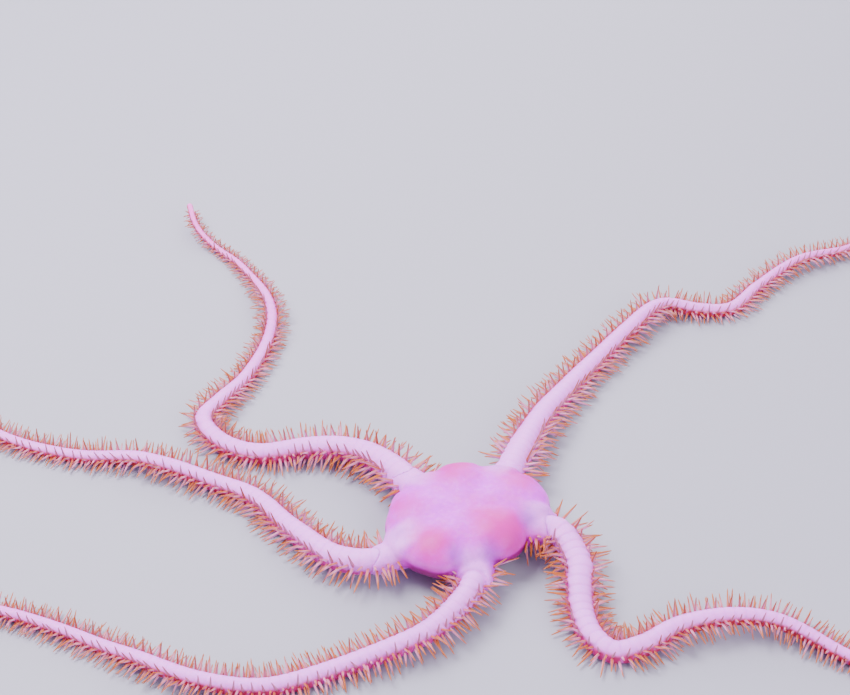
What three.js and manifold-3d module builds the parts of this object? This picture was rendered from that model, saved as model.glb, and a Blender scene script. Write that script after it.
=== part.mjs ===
// A brittle star resting on the sea floor, life size, in millimetres, +Z up.
// The disc stands just clear of the floor on five long arms. Each arm is laid along its own
// smooth route, is parted by thin cuts into five lengths, and is fringed with spines.
import * as THREE from 'three';
import { mergeVertices } from 'three/addons/utils/BufferGeometryUtils.js';
import Module from 'manifold-3d';

const wasm = await Module();
wasm.setup();

// Clearances
const GAP = 0.3;

// Corners closer than this are one corner; faces and edges that a join leaves smaller than the
// next two are swapped or closed up, where the pair of faces lies as good as flat
const WELD = 1e-5;
const THIN_FACE = 0.02;
const SHORT_EDGE = 0.03;
const FLAT_PAIR = 0.98;
const TIDY_ROUNDS = 6;

// Disc
const DISC_TOP = 9.2;
const DISC_BELLY = 2.6;
const DISC_MIDDLE = 5.4;
const DISC_SQUARENESS = 0.72;
const DISC_COLUMNS = 35;
const DISC_ROWS = 11;
const LOBE_SWELL = 0.7;
const SWELLING_COLUMNS = 8;
const SWELLING_ROWS = 5;

// Mouth
const MOUTH_RADIUS = 6.2;
const MOUTH_LOBE_SHARE = 0.94;
const MOUTH_DEPTH = 2.3;
const MOUTH_OPENING = 2;
const JAW_TIP_RADIUS = 1.2;
const JAW_TIP_HALF = 0.42;
const JAW_BACK_RADIUS = 4.75;
const JAW_HALF_ANGLE = 26;
const JAW_DROP = 0.4;
const TOOTH_LENGTH = 0.9;
const TOOTH_WIDTH = 0.6;
const TOOTH_SIDES = 5;
const TOOTH_HEIGHT = 0.4;
const TEETH = [
  { across: 0, back: 0.2, turn: 0 },
  { across: -0.5, back: 0.8, turn: -23 },
  { across: 0.5, back: 0.8, turn: 23 },
];
const ORAL_SHIELD_RADIUS = 8.3;
const ORAL_SHIELD_LENGTH = 1.7;
const ORAL_SHIELD_WIDTH = 1.5;
const ORAL_SHIELD_HEIGHT = 0.9;

// Arms
const INNER_RADIUS = 7.2;
const ROOT_RADIUS = 13.2;
const STUB_END = 3;
const TIP_WIDTH = 1.2;
const HEIGHT_RATIO = 0.76;
const ROUTE_DIVISIONS = 600;
const SLOPE_PROBE = 0.05;
const SLOPE_LEAST = 0.004;
const RING_PITCH = 0.6;
const RING_PITCH_LEAST = 2.9;
const RING_PITCH_MOST = 3.3;

// Half of an arm's section below its crown: how far out and how high each corner lies, as shares
// of the width and of the height
const SECTION = [[0.31, 0], [0.5, 0.3], [0.46, 0.66], [0.24, 0.94]];

// Spines. They grow midway between the rings, and every other place carries the other pair of
// rows, so that the rows stand staggered. A row's reach is a base length and a share of the
// arm's width, less where the arm is thin.
const SPINE_THICKNESS = 0.13;
const SPINE_THICKNESS_LEAST = 0.62;
const SPINE_SINK = 0.16;
const SPINE_LEAN = 0.16;
const SPINE_SIDES = 3;
const SPINE_CLEARANCE = 0.35;
const SPINE_FLOOR = 0.3;
const SPINE_THIN_ARM = 2.3;
const SPINE_STEEPEST = 60;
const SPINE_ANGLE_STEP = 3;
const SPINE_SHORTENING = 0.8;
const SPINE_TRIES = 2;
const SPINE_PROBES = [0.35, 0.7, 1];
const SPINE_ROWS = [
  [{ height: 0.78, across: 0.38, angle: 68, base: 2.0, share: 0.1 },
    { height: 0.45, across: 0.48, angle: 6, base: 1.9, share: 0.37 }],
  [{ height: 0.58, across: 0.47, angle: 28, base: 1.7, share: 0.3 },
    { height: 0.2, across: 0.43, angle: -16, base: 1.7, share: 0.3 }],
];
const SPINE_ROWS_THIN = [
  [{ height: 0.5, across: 0.48, angle: 32, base: 1.7, share: 0.3 }],
  [{ height: 0.4, across: 0.48, angle: -4, base: 1.9, share: 0.37 }],
];

// How much the spines vary, and the repeatable random numbers that vary them
const REACH_VARIES = 0.14;
const ANGLE_VARIES = 6;
const LEAN_VARIES = 0.5;
const SEED = 20;
const RANDOM_FACTOR = 16807;
const RANDOM_RANGE = 2147483647;

// Points along the arms' middle lines that spines of other arms are kept clear of, and the
// stretch of its own arm that a spine isn't measured against
const LINE_STEP = 1.2;
const OWN_STRETCH = 16;

// Each arm: bearing of its root round the disc, its width there and how it tapers, how far the
// disc's rim lies out just before the arm, just after it and in the lobe that follows, the floor
// points that its middle line passes, the height of its underside at distances from the root, and
// where it is parted.
const ARMS = [
  {
    name: 'arm_far_right',
    bearing: 60,
    width: 5.35,
    taper: 1.25,
    before: 15.3,
    after: 13.2,
    lobe: 12.5,
    route: [[8.6, 16.1], [11.5, 24.3], [14.9, 31.8], [17, 35.6], [21.5, 42.9], [26.5, 50],
      [33.5, 58.7], [41.4, 67.2], [48.5, 66.8], [55.1, 67.4], [61.9, 74.9], [71.5, 83.2],
      [83.5, 88.7], [95.5, 101.7], [102.5, 119.7]],
    lift: [[0, 2.6], [20, 1], [34, 0], [42, 0], [60, 1.4], [78, 0], [86, 0], [106, 1.2],
      [126, 0], [134, 0], [154, 1]],
    cuts: [28, 56, 84, 114],
  },
  {
    name: 'arm_far_left',
    bearing: 133,
    width: 5.6,
    taper: 1.35,
    before: 13.4,
    after: 14.3,
    lobe: 13.8,
    route: [[-15.2, 17.8], [-19.3, 21.2], [-28.9, 23.3], [-38.1, 22.2], [-45.4, 25.1],
      [-49, 30.6], [-46.5, 37.1], [-41.4, 47], [-38.3, 63.5], [-45.7, 82.1], [-56.5, 94.7],
      [-59.1, 102.7]],
    lift: [[0, 2.6], [18, 1], [29, 0], [36, 0], [49, 1], [64, 0], [72, 0], [89, 1.4], [104, 0],
      [112, 0], [128, 3]],
    cuts: [21, 42, 66, 98],
  },
  {
    name: 'arm_left',
    bearing: 210,
    width: 4.9,
    taper: 1.6,
    before: 15.8,
    after: 15.8,
    lobe: 14.2,
    route: [[-17, -8.3], [-21.8, -6.8], [-24.2, -5.2], [-30.9, 1.8], [-35.7, 8.1],
      [-39.6, 11.6], [-46.9, 14.9], [-55.9, 18.6], [-60.9, 20.5], [-74.5, 22.7], [-90.5, 29.7],
      [-103.5, 44.7], [-108.5, 64.7], [-112.5, 84.7]],
    lift: [[0, 2.6], [18, 1], [30, 0], [38, 0], [54, 1.2], [70, 0], [78, 0], [98, 1.2],
      [116, 0], [124, 0], [152, 1]],
    cuts: [26, 54, 84, 116],
  },
  {
    name: 'arm_near',
    bearing: 274,
    width: 4.15,
    taper: 1.4,
    before: 11.6,
    after: 10.8,
    lobe: 11.5,
    route: [[-2.6, -19.3], [-9, -25], [-21.7, -30.3], [-32.9, -34], [-44.6, -33], [-56.7, -27],
      [-74.6, -18.7], [-94.5, -15.3], [-112.5, -12.3], [-130.5, -15.3], [-148.5, -13.3]],
    lift: [[0, 2.6], [16, 1.4], [32, 0], [40, 0], [56, 1.2], [74, 0], [82, 0], [100, 1.2],
      [120, 0], [128, 0], [162, 1]],
    cuts: [28, 58, 90, 124],
  },
  {
    name: 'arm_right',
    bearing: 358,
    width: 5.2,
    taper: 1.65,
    before: 11.2,
    after: 15.3,
    lobe: 15.5,
    route: [[15.9, -1.5], [18.9, -8.5], [18.8, -13], [18.9, -17.7], [20.3, -23.3],
      [23.5, -26.6], [28.4, -25.5], [35.6, -21.8], [50.7, -21], [62, -27.5], [76.6, -35.9],
      [92.5, -39.3], [111.5, -34.3], [127.5, -23.3]],
    lift: [[0, 2.6], [10, 1.8], [22, 0], [30, 0], [52, 2.2], [74, 0], [82, 0], [100, 1.2],
      [118, 0], [126, 0], [143, 1]],
    cuts: [16, 38, 68, 106],
  },
];

const UP = new THREE.Vector3(0, 0, 1);

function radians(degrees) {
  return degrees * Math.PI / 180;
}

function smoothStep(t) {
  return t * t * (3 - 2 * t);
}

// Geometry to solid and back

function bare(geometry) {
  geometry.deleteAttribute('normal');
  geometry.deleteAttribute('uv');
  return mergeVertices(geometry, WELD);
}

function toSolid(geometry) {
  const merged = bare(geometry);
  return new wasm.Manifold(new wasm.Mesh({
    numProp: 3,
    vertProperties: new Float32Array(merged.getAttribute('position').array),
    triVerts: new Uint32Array(merged.getIndex().array),
  }));
}

function largestBody(solid) {
  const bodies = solid.decompose();
  return bodies.reduce((best, body) => (body.volume() > best.volume() ? body : best));
}

// The faces of a closed surface, each a list of three corner numbers
class Surface {
  constructor(mesh) {
    this.points = [];
    for (let i = 0; i < mesh.vertProperties.length; i += 3) {
      this.points.push(new THREE.Vector3().fromArray(mesh.vertProperties, i));
    }
    this.faces = [];
    for (let i = 0; i < mesh.triVerts.length; i += 3) {
      this.faces.push(Array.from(mesh.triVerts.slice(i, i + 3)));
    }
  }

  normal([a, b, c]) {
    const first = this.points[b].clone().sub(this.points[a]);
    return first.cross(this.points[c].clone().sub(this.points[a]));
  }

  edgeLength(a, b) {
    return this.points[a].distanceTo(this.points[b]);
  }

  // How thick a face is across its longest edge
  thickness([a, b, c]) {
    const longest = Math.max(this.edgeLength(a, b), this.edgeLength(b, c), this.edgeLength(c, a));
    return this.normal([a, b, c]).length() / longest;
  }

  // Which face holds each directed edge
  edges() {
    const found = new Map();
    this.faces.forEach((face, i) => {
      face.forEach((corner, k) => found.set(`${corner} ${face[(k + 1) % 3]}`, i));
    });
    return found;
  }

  // Swaps the long edge of each thin face for the other diagonal of the pair it makes
  swapThinFaces() {
    const edges = this.edges();
    const touched = new Set();
    this.faces.forEach((face, i) => {
      if (touched.has(i) || this.thickness(face) > THIN_FACE) {
        return;
      }
      const lengths = face.map((corner, k) => this.edgeLength(corner, face[(k + 1) % 3]));
      const longest = lengths.indexOf(Math.max(...lengths));
      const [a, b, c] = [0, 1, 2].map((k) => face[(longest + k) % 3]);
      const j = edges.get(`${b} ${a}`);
      const d = this.faces[j].find((corner) => corner !== a && corner !== b);
      if (touched.has(j) || edges.has(`${c} ${d}`) || edges.has(`${d} ${c}`)) {
        return;
      }
      const pair = [[a, d, c], [d, b, c]];
      const flat = this.normal(this.faces[j]).normalize();
      const keepsShape = pair.every((made) => this.normal(made).normalize().dot(flat) > FLAT_PAIR);
      const before = Math.min(this.thickness(face), this.thickness(this.faces[j]));
      const after = Math.min(...pair.map((made) => this.thickness(made)));
      if (keepsShape && after > before) {
        [this.faces[i], this.faces[j]] = pair;
        touched.add(i).add(j);
      }
    });
  }

  // Draws the two ends of each very short edge together, where that leaves the surface closed
  closeShortEdges() {
    const near = this.points.map(() => new Set());
    this.faces.forEach((face) => {
      face.forEach((corner, k) => {
        near[corner].add(face[(k + 1) % 3]);
        near[corner].add(face[(k + 2) % 3]);
      });
    });
    const moved = new Map();
    const busy = new Set();
    near.forEach((set, a) => {
      set.forEach((b) => {
        const shared = [...set].filter((corner) => near[b].has(corner)).length;
        const isFree = ![a, b, ...set, ...near[b]].some((corner) => busy.has(corner));
        if (a < b && isFree && shared === 2 && this.edgeLength(a, b) < SHORT_EDGE) {
          moved.set(b, a);
          [a, b, ...set, ...near[b]].forEach((corner) => busy.add(corner));
        }
      });
    });
    this.faces = this.faces
      .map((face) => face.map((corner) => (moved.has(corner) ? moved.get(corner) : corner)))
      .filter(([a, b, c]) => a !== b && b !== c && c !== a);
  }

  geometry() {
    const used = [...new Set(this.faces.flat())];
    const place = new Map(used.map((corner, i) => [corner, i]));
    const geometry = new THREE.BufferGeometry();
    geometry.setFromPoints(used.map((corner) => this.points[corner]));
    geometry.setIndex(this.faces.flat().map((corner) => place.get(corner)));
    return geometry;
  }
}

function toMesh(name, solid, material) {
  const surface = new Surface(largestBody(solid).getMesh());
  for (let i = 0; i < TIDY_ROUNDS; i += 1) {
    surface.closeShortEdges();
    surface.swapThinFaces();
  }
  const geometry = surface.geometry();
  const result = new THREE.Mesh(geometry, material);
  result.name = name;
  return result;
}

function moveVertices(geometry, place) {
  const position = geometry.getAttribute('position');
  const vertex = new THREE.Vector3();
  for (let i = 0; i < position.count; i += 1) {
    vertex.fromBufferAttribute(position, i);
    place(vertex);
    position.setXYZ(i, vertex.x, vertex.y, vertex.z);
  }
  return geometry;
}

// Arm routes

function armCurve(arm) {
  const out = new THREE.Vector3(Math.cos(radians(arm.bearing)), Math.sin(radians(arm.bearing)), 0);
  const points = [out.clone().multiplyScalar(INNER_RADIUS), out.clone().multiplyScalar(ROOT_RADIUS)];
  arm.route.forEach(([x, y]) => points.push(new THREE.Vector3(x, y, 0)));
  const curve = new THREE.CatmullRomCurve3(points, false, 'centripetal');
  curve.arcLengthDivisions = ROUTE_DIVISIONS;
  return curve;
}

function liftAt(arm, along) {
  const knots = arm.lift;
  if (along <= knots[0][0]) {
    return knots[0][1];
  }
  for (let i = 1; i < knots.length; i += 1) {
    const [start, low] = knots[i - 1];
    const [end, high] = knots[i];
    if (along <= end) {
      return low + (high - low) * smoothStep((along - start) / (end - start));
    }
  }
  return knots[knots.length - 1][1];
}

// The place, heading and width of an arm at a distance from its root
function armFrame(arm, along) {
  const inner = ROOT_RADIUS - INNER_RADIUS;
  const whole = arm.curve.getLength();
  const u = Math.min(Math.max((along + inner) / whole, 0), 1);
  const length = whole - inner;
  const centre = arm.curve.getPointAt(u);
  const ahead = arm.curve.getTangentAt(u);
  const rise = liftAt(arm, along + SLOPE_PROBE) - liftAt(arm, along - SLOPE_PROBE);
  ahead.z = rise / (2 * SLOPE_PROBE);
  if (Math.abs(ahead.z) < SLOPE_LEAST) {
    ahead.z = 0;
  }
  ahead.normalize();
  centre.z = liftAt(arm, along);
  const up = UP.clone().addScaledVector(ahead, -ahead.z).normalize();
  const side = up.clone().cross(ahead);
  const left = Math.min(Math.max(1 - along / length, 0), 1);
  const width = TIP_WIDTH + (arm.width - TIP_WIDTH) * Math.pow(left, arm.taper);
  return { centre, ahead, up, side, width };
}

// Section of an arm one unit wide: flat below, swelling sides, low dome above
function armSection() {
  const right = SECTION.map(([out, high]) => new THREE.Vector2(out, high * HEIGHT_RATIO));
  const left = right.map((corner) => new THREE.Vector2(-corner.x, corner.y)).reverse();
  return new THREE.Shape([...right, new THREE.Vector2(0, HEIGHT_RATIO), ...left]);
}

// How many rings a length of an arm is made of
function ringCount(arm, start, end) {
  const width = armFrame(arm, (start + end) / 2).width;
  const pitch = Math.min(Math.max(RING_PITCH * width, RING_PITCH_LEAST), RING_PITCH_MOST);
  return Math.max(2, Math.round((end - start) / pitch));
}

// One length of an arm, from one distance along it to another, made larger all round by a margin
function armLength(arm, start, end, margin = 0) {
  const geometry = new THREE.ExtrudeGeometry(armSection(), {
    depth: 1,
    steps: ringCount(arm, start, end),
    bevelEnabled: false,
    curveSegments: 1,
  });
  const frames = new Map();
  moveVertices(geometry, (vertex) => {
    const along = start + (end - start) * vertex.z;
    const key = Math.round(along * 1000);
    if (!frames.has(key)) {
      frames.set(key, armFrame(arm, along));
    }
    const frame = frames.get(key);
    const across = vertex.x * frame.width + Math.sign(vertex.x) * margin;
    const above = vertex.y * frame.width + (vertex.y > 0 ? margin : -margin);
    vertex.copy(frame.centre).addScaledVector(frame.side, across).addScaledVector(frame.up, above);
  });
  return toSolid(geometry);
}

// Spines

let seed = SEED;

// A repeatable random number from -1 to 1
function jitter() {
  seed = (seed * RANDOM_FACTOR) % RANDOM_RANGE;
  return (seed / RANDOM_RANGE) * 2 - 1;
}

// Points along every arm's middle line, for keeping spines clear of the other arms
function middleLine(arm) {
  const points = [];
  for (let along = 0; along < arm.length; along += LINE_STEP) {
    const frame = armFrame(arm, along);
    const centre = frame.centre.clone().addScaledVector(frame.up, frame.width * HEIGHT_RATIO / 2);
    points.push({ arm, along, centre, half: frame.width / 2 });
  }
  return points;
}

// Whether a point of a spine is clear of the cuts, the disc, the other arms and their spines
function isClear(point, arm, along, span, others) {
  const room = SPINE_CLEARANCE + GAP / 2;
  const first = armFrame(arm, span.start);
  const last = armFrame(arm, span.end);
  if (point.clone().sub(first.centre).dot(first.ahead) < room) {
    return false;
  }
  const isTip = span.end >= arm.length;
  if (!isTip && point.clone().sub(last.centre).dot(last.ahead) > -room) {
    return false;
  }
  const bearing = Math.atan2(point.y, point.x) * 180 / Math.PI;
  if (Math.hypot(point.x, point.y) < discPlace(bearing).rim + room) {
    return false;
  }
  const hitsLine = others.lines.some((line) => {
    if (line.arm === arm && Math.abs(line.along - along) < OWN_STRETCH) {
      return false;
    }
    return line.centre.distanceTo(point) < line.half + GAP + SPINE_CLEARANCE;
  });
  const hitsSpine = others.spines.some((spine) => (
    spine.node !== span.node && spine.point.distanceTo(point) < 2 * SPINE_CLEARANCE + GAP
  ));
  return !hitsLine && !hitsSpine;
}

// A tapering spine with its root sunk into the arm, or nothing where there is no room for one
function spine(arm, along, side, row, span, others) {
  const frame = armFrame(arm, along);
  const width = frame.width;
  const sink = SPINE_SINK * width;
  const radius = Math.max(SPINE_THICKNESS * width, SPINE_THICKNESS_LEAST) / 2;
  const root = frame.centre.clone()
    .addScaledVector(frame.side, side * row.across * width)
    .addScaledVector(frame.up, row.height * HEIGHT_RATIO * width);
  const thinness = Math.min(1, width / SPINE_THIN_ARM);
  let reach = (row.base + row.share * width) * thinness * (1 + REACH_VARIES * jitter());
  let angle = row.angle + ANGLE_VARIES * jitter();
  const lean = SPINE_LEAN * (1 + LEAN_VARIES * jitter());
  const direction = new THREE.Vector3();
  const aim = () => {
    direction.copy(frame.side).multiplyScalar(side * Math.cos(radians(angle)));
    direction.addScaledVector(frame.up, Math.sin(radians(angle))).addScaledVector(frame.ahead, lean);
    direction.normalize();
  };
  aim();
  while (root.z + direction.z * reach < SPINE_FLOOR && angle < SPINE_STEEPEST) {
    angle += SPINE_ANGLE_STEP;
    aim();
  }
  const pointAt = (share) => root.clone().addScaledVector(direction, reach * share);
  const pointsAt = () => SPINE_PROBES.map(pointAt);
  let tries = 0;
  while (!pointsAt().every((point) => isClear(point, arm, along, span, others))) {
    reach *= SPINE_SHORTENING;
    tries += 1;
    if (tries > SPINE_TRIES) {
      return null;
    }
  }
  pointsAt().forEach((point) => others.spines.push({ node: span.node, point }));
  const height = reach + sink;
  const geometry = new THREE.ConeGeometry(radius * (height / reach), height, SPINE_SIDES);
  geometry.translate(0, height / 2, 0);
  const axis = new THREE.Vector3(0, 1, 0);
  geometry.applyQuaternion(new THREE.Quaternion().setFromUnitVectors(axis, direction));
  root.addScaledVector(direction, -sink);
  geometry.translate(root.x, root.y, root.z);
  return toSolid(geometry);
}

// All the spines of one length of an arm, joined to it
function withSpines(body, arm, span, others) {
  const pieces = [];
  const rings = ringCount(arm, span.start, span.end);
  for (let i = 0; i < rings; i += 1) {
    const along = span.start + (i + 0.5) * (span.end - span.start) / rings;
    const rows = armFrame(arm, along).width < SPINE_THIN_ARM ? SPINE_ROWS_THIN : SPINE_ROWS;
    [-1, 1].forEach((side) => {
      rows[i % 2].forEach((row) => {
        const piece = spine(arm, along, side, row, span, others);
        if (piece) {
          pieces.push(piece);
        }
      });
    });
  }
  return body.add(pieces.reduce((joined, piece) => joined.add(piece)));
}

// Disc

const bearings = ARMS.map((arm) => arm.bearing);

// Where a bearing lies in the lobe between two arms, 0 at an arm and 1 mid-lobe, and how far out
// the disc's rim is there
function discPlace(bearing) {
  const turned = ((bearing - bearings[0]) % 360 + 360) % 360;
  const starts = bearings.map((b) => b - bearings[0]);
  const i = starts.findLastIndex((start) => start <= turned);
  const end = i + 1 < starts.length ? starts[i + 1] : 360;
  const t = (turned - starts[i]) / (end - starts[i]);
  const inLobe = Math.sin(Math.PI * t) ** 2;
  const corner = t < 0.5 ? ARMS[i].after : ARMS[(i + 1) % ARMS.length].before;
  return { inLobe, rim: corner + (ARMS[i].lobe - corner) * inLobe };
}

function lobeBearings() {
  return bearings.map((b, i) => {
    const next = i + 1 < bearings.length ? bearings[i + 1] : bearings[0] + 360;
    return (b + next) / 2;
  });
}

function softPower(value) {
  return Math.sign(value) * Math.pow(Math.abs(value), DISC_SQUARENESS);
}

function discBody() {
  const geometry = new THREE.SphereGeometry(1, DISC_COLUMNS, DISC_ROWS);
  geometry.rotateX(Math.PI / 2);
  geometry.deleteAttribute('normal');
  geometry.deleteAttribute('uv');
  const ball = mergeVertices(geometry, WELD);
  moveVertices(ball, (vertex) => {
    const bearing = Math.atan2(vertex.y, vertex.x);
    const { inLobe, rim } = discPlace(bearing * 180 / Math.PI);
    const flat = Math.min(Math.hypot(vertex.x, vertex.y), 1);
    const reach = softPower(flat) * rim;
    const rise = vertex.z > 0 ? DISC_TOP - DISC_MIDDLE : DISC_MIDDLE - DISC_BELLY;
    const swell = vertex.z > 0 ? LOBE_SWELL * inLobe * Math.sin(Math.PI * flat) : 0;
    vertex.set(
      reach * Math.cos(bearing),
      reach * Math.sin(bearing),
      DISC_MIDDLE + softPower(vertex.z) * rise + swell,
    );
  });
  return toSolid(ball);
}

// A low oval swelling, its long axis pointing away from the middle of the disc
function swelling(radius, bearing, height, size) {
  const geometry = new THREE.SphereGeometry(1, SWELLING_COLUMNS, SWELLING_ROWS);
  geometry.scale(size.length, size.width, size.height);
  geometry.rotateZ(radians(bearing));
  const angle = radians(bearing);
  geometry.translate(radius * Math.cos(angle), radius * Math.sin(angle), height);
  return toSolid(geometry);
}

// Mouth pocket, a five-pointed hollow whose points run out below the arms
function mouthPocket() {
  const shape = new THREE.Shape();
  const corners = [];
  bearings.forEach((b, i) => {
    corners.push([MOUTH_RADIUS, b]);
    corners.push([MOUTH_RADIUS * MOUTH_LOBE_SHARE, lobeBearings()[i]]);
  });
  corners.forEach(([radius, bearing], i) => {
    const x = radius * Math.cos(radians(bearing));
    const y = radius * Math.sin(radians(bearing));
    if (i === 0) {
      shape.moveTo(x, y);
    } else {
      shape.lineTo(x, y);
    }
  });
  shape.closePath();
  const depth = MOUTH_DEPTH + MOUTH_OPENING;
  const geometry = new THREE.ExtrudeGeometry(shape, { depth, bevelEnabled: false });
  geometry.translate(0, 0, DISC_BELLY - MOUTH_OPENING);
  return toSolid(geometry);
}

// One jaw: a wedge that points at the middle of the mouth, with teeth on its edge
function jaw(bearing) {
  const halfBack = Math.tan(radians(JAW_HALF_ANGLE)) * JAW_BACK_RADIUS;
  const shape = new THREE.Shape();
  shape.moveTo(JAW_TIP_RADIUS, -JAW_TIP_HALF);
  shape.lineTo(JAW_BACK_RADIUS, -halfBack);
  shape.lineTo(JAW_BACK_RADIUS, halfBack);
  shape.lineTo(JAW_TIP_RADIUS, JAW_TIP_HALF);
  shape.closePath();
  const depth = MOUTH_DEPTH + JAW_DROP - GAP;
  const geometry = new THREE.ExtrudeGeometry(shape, { depth, bevelEnabled: false });
  geometry.translate(0, 0, DISC_BELLY - JAW_DROP);
  let body = toSolid(geometry);
  TEETH.forEach(({ across, back, turn }) => {
    const tooth = new THREE.ConeGeometry(TOOTH_WIDTH / 2, TOOTH_LENGTH * 2, TOOTH_SIDES);
    tooth.rotateZ(Math.PI / 2 + radians(turn));
    tooth.translate(JAW_TIP_RADIUS + back, across, DISC_BELLY + TOOTH_HEIGHT);
    body = body.add(toSolid(tooth));
  });
  return body.rotate(0, 0, bearing);
}

// Materials
const discSkin = new THREE.MeshStandardMaterial({ color: 0xe79ad0, roughness: 0.5, metalness: 0 });
const armSkin = new THREE.MeshStandardMaterial({ color: 0xe9b6dc, roughness: 0.55, metalness: 0 });
const jawPlate = new THREE.MeshStandardMaterial({ color: 0xeedde6, roughness: 0.6, metalness: 0 });

const star = new THREE.Group();

ARMS.forEach((arm) => {
  arm.curve = armCurve(arm);
  arm.length = arm.curve.getLength() - (ROOT_RADIUS - INNER_RADIUS);
});

let disc = discBody();
ARMS.forEach((arm) => {
  disc = disc.add(armLength(arm, INNER_RADIUS - ROOT_RADIUS, STUB_END));
});
ARMS.forEach((arm) => {
  disc = disc.subtract(armLength(arm, STUB_END + GAP, arm.cuts[0], GAP));
});
disc = disc.subtract(mouthPocket());
lobeBearings().forEach((bearing) => {
  disc = disc.add(swelling(ORAL_SHIELD_RADIUS, bearing, DISC_BELLY + ORAL_SHIELD_HEIGHT, {
    length: ORAL_SHIELD_LENGTH,
    width: ORAL_SHIELD_WIDTH,
    height: ORAL_SHIELD_HEIGHT,
  }));
});
star.add(toMesh('disc', disc, discSkin));

lobeBearings().forEach((bearing, i) => {
  star.add(toMesh(`jaw_${i + 1}`, jaw(bearing), jawPlate));
});

const others = { lines: ARMS.flatMap(middleLine), spines: [] };
ARMS.forEach((arm) => {
  const starts = [STUB_END].concat(arm.cuts);
  const ends = arm.cuts.concat(arm.length);
  starts.forEach((start, i) => {
    const span = { node: `${arm.name}_${i + 1}`, start: start + GAP, end: ends[i] };
    const body = armLength(arm, span.start, span.end);
    star.add(toMesh(span.node, withSpines(body, arm, span, others), armSkin));
  });
});

const box = new THREE.Box3().setFromObject(star);
const middle = box.getCenter(new THREE.Vector3());
star.position.set(-middle.x, -middle.y, 0);

export default star;
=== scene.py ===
"""A brittle star resting on the floor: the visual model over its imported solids.

Lengths inside the classes are in millimetres from the middle of the disc on the floor. They
turn into metres in the row frame when a mesh is handed to the scene.
"""

import logging  # noqa: E402
import math  # noqa: E402
from dataclasses import dataclass  # noqa: E402
from enum import Enum  # noqa: E402
from functools import cache, cached_property  # noqa: E402
from typing import Callable  # noqa: E402

import bmesh  # noqa: E402
import bpy  # noqa: E402
import numpy as np  # noqa: E402
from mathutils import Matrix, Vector  # noqa: E402
from mathutils.kdtree import KDTree  # noqa: E402


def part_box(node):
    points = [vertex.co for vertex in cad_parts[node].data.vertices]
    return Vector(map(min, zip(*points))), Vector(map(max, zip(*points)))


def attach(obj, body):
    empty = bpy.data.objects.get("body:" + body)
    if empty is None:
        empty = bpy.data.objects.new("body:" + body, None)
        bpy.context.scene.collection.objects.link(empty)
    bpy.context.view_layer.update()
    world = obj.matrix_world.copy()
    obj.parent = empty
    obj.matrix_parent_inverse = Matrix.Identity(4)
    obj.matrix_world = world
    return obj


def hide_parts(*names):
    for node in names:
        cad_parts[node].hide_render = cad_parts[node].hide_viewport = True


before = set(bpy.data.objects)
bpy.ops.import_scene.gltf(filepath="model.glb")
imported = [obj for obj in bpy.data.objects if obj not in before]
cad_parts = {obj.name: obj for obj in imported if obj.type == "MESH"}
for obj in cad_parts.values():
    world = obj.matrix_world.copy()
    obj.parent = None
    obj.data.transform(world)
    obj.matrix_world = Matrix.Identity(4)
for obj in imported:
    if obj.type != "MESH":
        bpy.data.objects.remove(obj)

logging.basicConfig(level=logging.INFO, format="%(message)s")
log = logging.getLogger("star")

MM = 0.001
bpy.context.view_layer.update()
STUB_SHIFT = (1.319, -0.903)
SEED = 7
UPWARD = np.array([0.0, 0.0, 1.0])
Colour = tuple[float, float, float, float]


def smooth(value: np.ndarray, low: float, high: float) -> np.ndarray:
    """Rises softly from 0 to 1.

    Args:
        value: What is measured.
        low: Where the rise starts.
        high: Where it ends; below low, the rise turns into a fall.

    Returns:
        The share, between 0 and 1.
    """
    share = np.clip((value - low) / (high - low), 0.0, 1.0)
    return share * share * (3.0 - 2.0 * share)


def signed_power(value: np.ndarray, power: float) -> np.ndarray:
    """Raises a size to a power and keeps its sign.

    Args:
        value: Numbers of either sign.
        power: The power.

    Returns:
        The raised numbers.
    """
    return np.sign(value) * np.abs(value) ** power


def colour(red: int, green: int, blue: int) -> Colour:
    """Turns a screen colour into the linear colour that a shader takes.

    Args:
        red: Red, 0 to 255.
        green: Green, 0 to 255.
        blue: Blue, 0 to 255.

    Returns:
        Linear red, green, blue and an alpha of 1.
    """

    def linear(level: int) -> float:
        """Turns one screen level into a linear one."""
        share = level / 255.0
        return share / 12.92 if share <= 0.04045 else ((share + 0.055) / 1.055) ** 2.4

    return (linear(red), linear(green), linear(blue), 1.0)


@cache
def disc_middle() -> np.ndarray:
    """Finds the middle of the disc on the floor from its solid, whose box the arm stubs shift.

    Returns:
        Its place in millimetres in the row frame.
    """
    low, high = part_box("disc")
    middle = (np.array(low) + np.array(high))[:2] / 2 / MM - np.array(STUB_SHIFT)
    return np.array([middle[0], middle[1], 0.0])


def to_row(points: np.ndarray) -> np.ndarray:
    """Brings places into the row frame.

    Args:
        points: Millimetres from the middle of the disc on the floor.

    Returns:
        The same places in metres in the row frame.
    """
    return (points + disc_middle()) * MM


def heading(bearing: float) -> np.ndarray:
    """The level direction with a bearing.

    Args:
        bearing: Degrees from +X towards +Y.

    Returns:
        A direction of length 1.
    """
    return np.array([math.cos(math.radians(bearing)), math.sin(math.radians(bearing)), 0.0])


def bearing_of(points: np.ndarray) -> np.ndarray:
    """The bearings at which points lie from the middle, in degrees."""
    return np.degrees(np.arctan2(points[:, 1], points[:, 0]))


def bell(value: np.ndarray, middle: float, width: float) -> np.ndarray:
    """A hump that is 1 at its middle.

    Args:
        value: What is measured.
        middle: Where the hump stands.
        width: How far from there it has fallen to about a third.

    Returns:
        The height of the hump, falling away to 0.
    """
    return np.exp(-(((value - middle) / width) ** 2))


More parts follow.
